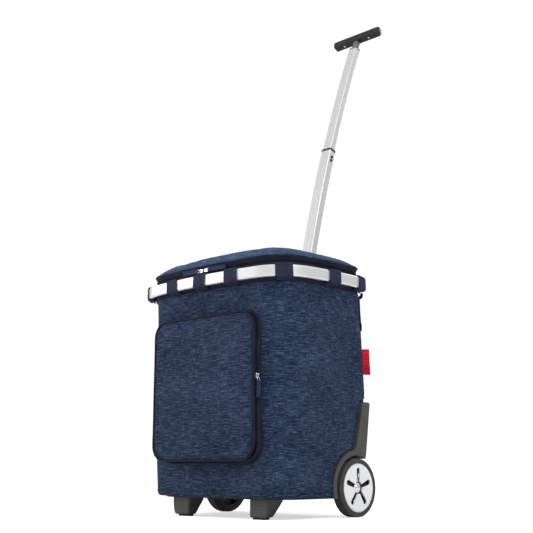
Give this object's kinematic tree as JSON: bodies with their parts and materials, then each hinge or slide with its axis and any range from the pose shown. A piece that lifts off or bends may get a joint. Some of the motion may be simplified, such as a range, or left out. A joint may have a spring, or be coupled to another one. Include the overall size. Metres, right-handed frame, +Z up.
{
  "type": "shopping trolley",
  "caption": "Rigid-framed fabric shopping bag on two wheels and two feet, with a zipped lid, a front pocket and a curved telescopic handle.",
  "frame": {"origin": "on the floor, under the middle of the whole trolley's box with the handle drawn out", "axes": "+Z up; -Y is the front, with the pocket and feet; the wheels and handle are at +Y; X is across, along the axle"},
  "size_m": [0.4164, 0.5007, 1.0724],
  "materials": {
    "navy_fabric": "heathered navy polyester with a streaky horizontal weave",
    "lid_fabric": "the same heathered navy polyester, padded",
    "webbing": "plain navy woven webbing",
    "zip_tape": "very dark navy woven tape",
    "zip_teeth": "dark nylon coil",
    "rim_aluminium": "satin anodised",
    "tube_aluminium": "satin anodised, drawn",
    "grey_plastic": "fine-grained moulded polypropylene",
    "black_plastic": "moulded",
    "sole_rubber": "matt",
    "tyre_rubber": "matt soft rubber",
    "disc_silver": "light silver-grey",
    "hub_chrome": "bright",
    "steel": "zinc plated",
    "grip_black": "soft-touch",
    "stem_grey": "moulded",
    "slider_silver": "nickel plated die casting",
    "red_tag": "folded woven label, plain",
    "black_fabric": "plain black polyester",
    "board": "fabric-backed stiff board"
  },
  "bodies": {
    "frame": {"chassis_tray": "black_plastic", "tube_socket": "black_plastic", "foot_left": "grey_plastic", "foot_right": "grey_plastic", "sole_left": "sole_rubber", "sole_right": "sole_rubber", "axle": "steel", "arch_left": "grey_plastic", "arch_right": "grey_plastic", "axle_washers": "steel", "outer_tube": "tube_aluminium", "outer_collar": "black_plastic", "rim_frame": "rim_aluminium", "rim_clamp": "black_plastic", "frame_screws": "steel", "loops_front": "webbing", "loops_corner": "webbing", "loops_side": "webbing", "loops_rear": "webbing", "bag_body": "navy_fabric", "base_board": "board", "back_board": "board", "back_panel": "black_fabric", "zip_tape_lower": "zip_tape", "zip_teeth_lower": "zip_teeth", "pocket_teeth_bag": "zip_teeth", "pocket_tape_bag": "zip_tape", "side_tag": "red_tag"},
    "wheel_left": {"tyre_left": "tyre_rubber", "wheel_core_left": "black_plastic", "wheel_disc_left": "disc_silver", "hub_cap_left": "hub_chrome"},
    "wheel_right": {"tyre_right": "tyre_rubber", "wheel_core_right": "black_plastic", "wheel_disc_right": "disc_silver", "hub_cap_right": "hub_chrome"},
    "middle_stage": {"middle_tube": "tube_aluminium", "middle_collar": "black_plastic", "middle_guide": "black_plastic"},
    "upper_stage": {"upper_tube": "tube_aluminium", "upper_guide": "black_plastic", "grip_stem": "stem_grey", "grip_shell": "grip_black", "grip_end_caps": "grip_black", "grip_screws": "steel"},
    "snap_upper": {"snap_button_upper": "black_plastic"},
    "snap_lower": {"snap_button_lower": "black_plastic"},
    "lid": {"lid_panel": "lid_fabric", "zip_tape_upper": "zip_tape", "zip_teeth_upper": "zip_teeth"},
    "lid_zip_left": {"lid_slider_left": "slider_silver"},
    "lid_zip_right": {"lid_slider_right": "slider_silver"},
    "lid_tab_left": {"lid_pull_left": "webbing"},
    "lid_tab_right": {"lid_pull_right": "webbing"},
    "pocket_front": {"pocket_panel": "navy_fabric", "pocket_tape_panel": "zip_tape", "pocket_teeth_panel": "zip_teeth"},
    "pocket_zip": {"pocket_slider": "slider_silver"},
    "pocket_tab": {"pocket_pull": "webbing"}
  },
  "joints": [
    {"name": "wheel_left_spin", "type": "hinge", "parent": "frame", "child": "wheel_left", "pos_m": [-0.164, -0.01405, 0.0515], "axis": [1, 0, 0], "continuous": true},
    {"name": "wheel_right_spin", "type": "hinge", "parent": "frame", "child": "wheel_right", "pos_m": [0.164, -0.01405, 0.0515], "axis": [1, 0, 0], "continuous": true},
    {"name": "middle_stage_slide", "type": "hinge", "parent": "frame", "child": "middle_stage", "pos_m": [0, 3.52106, -0.3403], "axis": [1, 0, 0], "range_deg": [0, 4.6]},
    {"name": "upper_stage_slide", "type": "hinge", "parent": "middle_stage", "child": "upper_stage", "pos_m": [0, 3.52106, -0.3403], "axis": [1, 0, 0], "range_deg": [0, 4.4]},
    {"name": "snap_upper_press", "type": "slide", "parent": "middle_stage", "child": "snap_upper", "axis": [-1, 0, 0], "range_m": [0, 0.0007], "stiffness_N_per_m": 200},
    {"name": "snap_lower_press", "type": "slide", "parent": "middle_stage", "child": "snap_lower", "axis": [-1, 0, 0], "range_m": [0, 0.0007], "stiffness_N_per_m": 200},
    {"name": "lid_hinge", "type": "hinge", "parent": "frame", "child": "lid", "pos_m": [0, 0.00413, 0.4402], "axis": [-1, 0, 0], "range_deg": [0, 62]},
    {"name": "lid_zip_left_run", "type": "hinge", "parent": "frame", "child": "lid_zip_left", "pos_m": [0, 0.75606, 0.44], "axis": [0, 0, -1], "range_deg": [0, 6.4]},
    {"name": "lid_zip_right_run", "type": "hinge", "parent": "frame", "child": "lid_zip_right", "pos_m": [0, 0.75606, 0.44], "axis": [0, 0, 1], "range_deg": [0, 6.4]},
    {"name": "lid_tab_left_swing", "type": "hinge", "parent": "lid_zip_left", "child": "lid_tab_left", "pos_m": [-0.0136, -0.23725, 0.44], "axis": [0, 0, 1], "range_deg": [0, 95]},
    {"name": "lid_tab_right_swing", "type": "hinge", "parent": "lid_zip_right", "child": "lid_tab_right", "pos_m": [0.0096, -0.23725, 0.44], "axis": [0, 0, -1], "range_deg": [0, 95]},
    {"name": "pocket_fold", "type": "hinge", "parent": "frame", "child": "pocket_front", "pos_m": [0, -0.23064, 0.0986], "axis": [1, 0, 0], "range_deg": [0, 80]},
    {"name": "pocket_zip_run", "type": "slide", "parent": "frame", "child": "pocket_zip", "axis": [0, 0, 1], "range_m": [-0.1, 0.075]},
    {"name": "pocket_tab_swing", "type": "hinge", "parent": "pocket_zip", "child": "pocket_tab", "pos_m": [0.1328, -0.23054, 0.2355], "axis": [0, -1, 0], "range_deg": [0, 90]}
  ]
}
